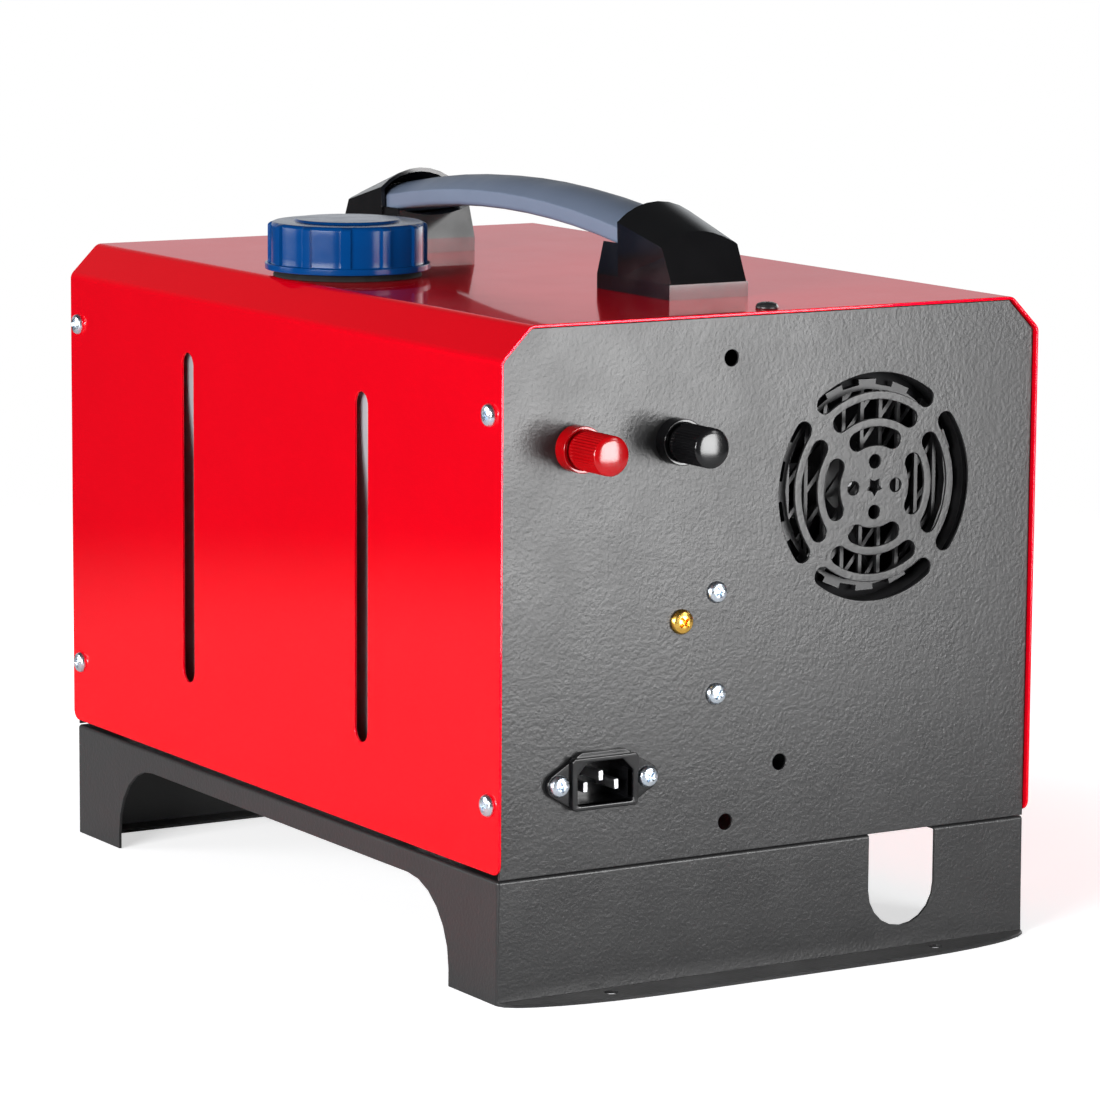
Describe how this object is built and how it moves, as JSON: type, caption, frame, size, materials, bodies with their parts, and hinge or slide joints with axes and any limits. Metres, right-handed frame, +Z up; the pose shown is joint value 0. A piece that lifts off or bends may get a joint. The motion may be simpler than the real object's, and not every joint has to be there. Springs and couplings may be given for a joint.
{
  "type": "diesel heater",
  "caption": "Portable diesel air heater: a sheet-steel cabinet on an arched stand, with a carrying handle, fuel tank, round intake grille, hot-air outlet and controller.",
  "frame": {"origin": "centre of the footprint, on the floor under the stand", "axes": "+Z up, +Y from the socket and grille end to the hot-air end, +X to the right as seen from the socket end"},
  "size_m": [0.2552, 0.4182, 0.2991],
  "materials": {
    "red_paint": "gloss red stove enamel on sheet steel",
    "black_powder": "fine textured dark grey powder coat on sheet steel",
    "zinc_screw": "bright zinc plate",
    "black_screw": "black oxide",
    "black_gloss": "glossy black moulding",
    "grey_grip": "satin blue-grey moulding",
    "brass": "bright turned brass",
    "red_plastic": "glossy red moulding",
    "supply_steel": "perforated zinc-plated sheet",
    "tank_plastic": "milky natural blow moulding",
    "blue_plastic": "glossy deep blue moulding",
    "rubber": "matt black rubber",
    "clear_plastic": "clear fuel-proof moulding",
    "cast_aluminium": "sand-cast surface",
    "steel": "plain rolled steel",
    "black_matte": "matt black heat-proof moulding",
    "circuit_green": "varnished circuit board",
    "screen_glass": "dark display window"
  },
  "bodies": {
    "root": {"ac_blade_earth": "brass", "ac_blade_line": "brass", "ac_blade_neutral": "brass", "ac_inlet": "black_gloss", "base_stand": "black_powder", "blower_housing": "cast_aluminium", "burner_tube": "steel", "control_unit": "circuit_green", "controller_case": "black_matte", "controller_screen": "screen_glass", "cover_screw_1": "zinc_screw", "cover_screw_2": "zinc_screw", "cover_screw_3": "zinc_screw", "cover_screw_4": "zinc_screw", "cover_screw_5": "zinc_screw", "cover_screw_6": "zinc_screw", "cover_screw_7": "zinc_screw", "cover_screw_8": "zinc_screw", "filter_hose": "rubber", "flange_gasket": "rubber", "front_panel": "black_powder", "fuel_filter": "clear_plastic", "fuel_line": "clear_plastic", "fuel_pump": "cast_aluminium", "fuel_tank": "tank_plastic", "glow_plug": "steel", "handle_foot_front": "black_gloss", "handle_foot_rear": "black_gloss", "handle_grip": "grey_grip", "heat_exchanger": "cast_aluminium", "heater_bracket": "steel", "intake_guard": "black_matte", "lower_shell": "black_matte", "motor": "steel", "outlet_collar": "black_matte", "post_collar_negative": "black_gloss", "post_collar_positive": "red_plastic", "power_supply": "supply_steel", "pump_clamp": "rubber", "rear_panel": "black_powder", "tank_hose": "rubber", "tank_tap": "brass", "top_screw_front": "black_screw", "top_screw_rear": "black_screw", "upper_shell": "black_matte", "wrap_cover": "red_paint"},
    "cap_ring": {"cap_seal": "rubber"},
    "cap": {"fuel_cap": "blue_plastic"},
    "washer_positive": {"post_washer_positive": "red_plastic"},
    "knob_positive": {"post_knob_positive": "red_plastic"},
    "washer_negative": {"post_washer_negative": "black_gloss"},
    "knob_negative": {"post_knob_negative": "black_gloss"},
    "rotor": {"rotor_shaft": "steel", "hot_air_fan": "black_matte", "combustion_fan": "cast_aluminium"},
    "louvre": {"outlet_louvre": "black_matte"},
    "power_button": {"button_power": "black_matte"},
    "up_button": {"button_up": "black_matte"},
    "down_button": {"button_down": "black_matte"},
    "set_button": {"button_set": "black_matte"}
  },
  "joints": [
    {"name": "cap_lift", "type": "slide", "parent": "root", "child": "cap_ring", "axis": [0, 0, 1], "range_m": [0, 0.0061]},
    {"name": "cap_turn", "type": "hinge", "parent": "cap_ring", "child": "cap", "pos_m": [-0.082, 0.012, 0.27], "axis": [0, 0, 1], "range_deg": [0, 540]},
    {"name": "positive_washer_slide", "type": "slide", "parent": "root", "child": "washer_positive", "axis": [0, -1, 0], "range_m": [0, 0.0051]},
    {"name": "positive_knob_turn", "type": "hinge", "parent": "washer_positive", "child": "knob_positive", "pos_m": [-0.091, -0.2, 0.213], "axis": [0, -1, 0], "range_deg": [0, 1800]},
    {"name": "negative_washer_slide", "type": "slide", "parent": "root", "child": "washer_negative", "axis": [0, -1, 0], "range_m": [0, 0.0051]},
    {"name": "negative_knob_turn", "type": "hinge", "parent": "washer_negative", "child": "knob_negative", "pos_m": [-0.046, -0.2, 0.213], "axis": [0, -1, 0], "range_deg": [0, 1800]},
    {"name": "rotor_spin", "type": "hinge", "parent": "root", "child": "rotor", "pos_m": [0.0476, 0, 0.1887], "axis": [0, 1, 0], "continuous": true},
    {"name": "louvre_turn", "type": "hinge", "parent": "root", "child": "louvre", "pos_m": [0.0476, 0.2, 0.1887], "axis": [0, 1, 0], "continuous": true},
    {"name": "power_press", "type": "slide", "parent": "root", "child": "power_button", "axis": [0, -1, 0], "range_m": [0, 0.001], "stiffness_N_per_m": 500},
    {"name": "up_press", "type": "slide", "parent": "root", "child": "up_button", "axis": [0, -1, 0], "range_m": [0, 0.001], "stiffness_N_per_m": 500},
    {"name": "down_press", "type": "slide", "parent": "root", "child": "down_button", "axis": [0, -1, 0], "range_m": [0, 0.001], "stiffness_N_per_m": 500},
    {"name": "set_press", "type": "slide", "parent": "root", "child": "set_button", "axis": [0, -1, 0], "range_m": [0, 0.001], "stiffness_N_per_m": 500}
  ],
  "couplings": [
    {"joint": "cap_lift", "follows": "cap_turn", "m_per_rad": 0.00063662},
    {"joint": "positive_washer_slide", "follows": "positive_knob_turn", "m_per_rad": 0.00015915},
    {"joint": "negative_washer_slide", "follows": "negative_knob_turn", "m_per_rad": 0.00015915}
  ]
}
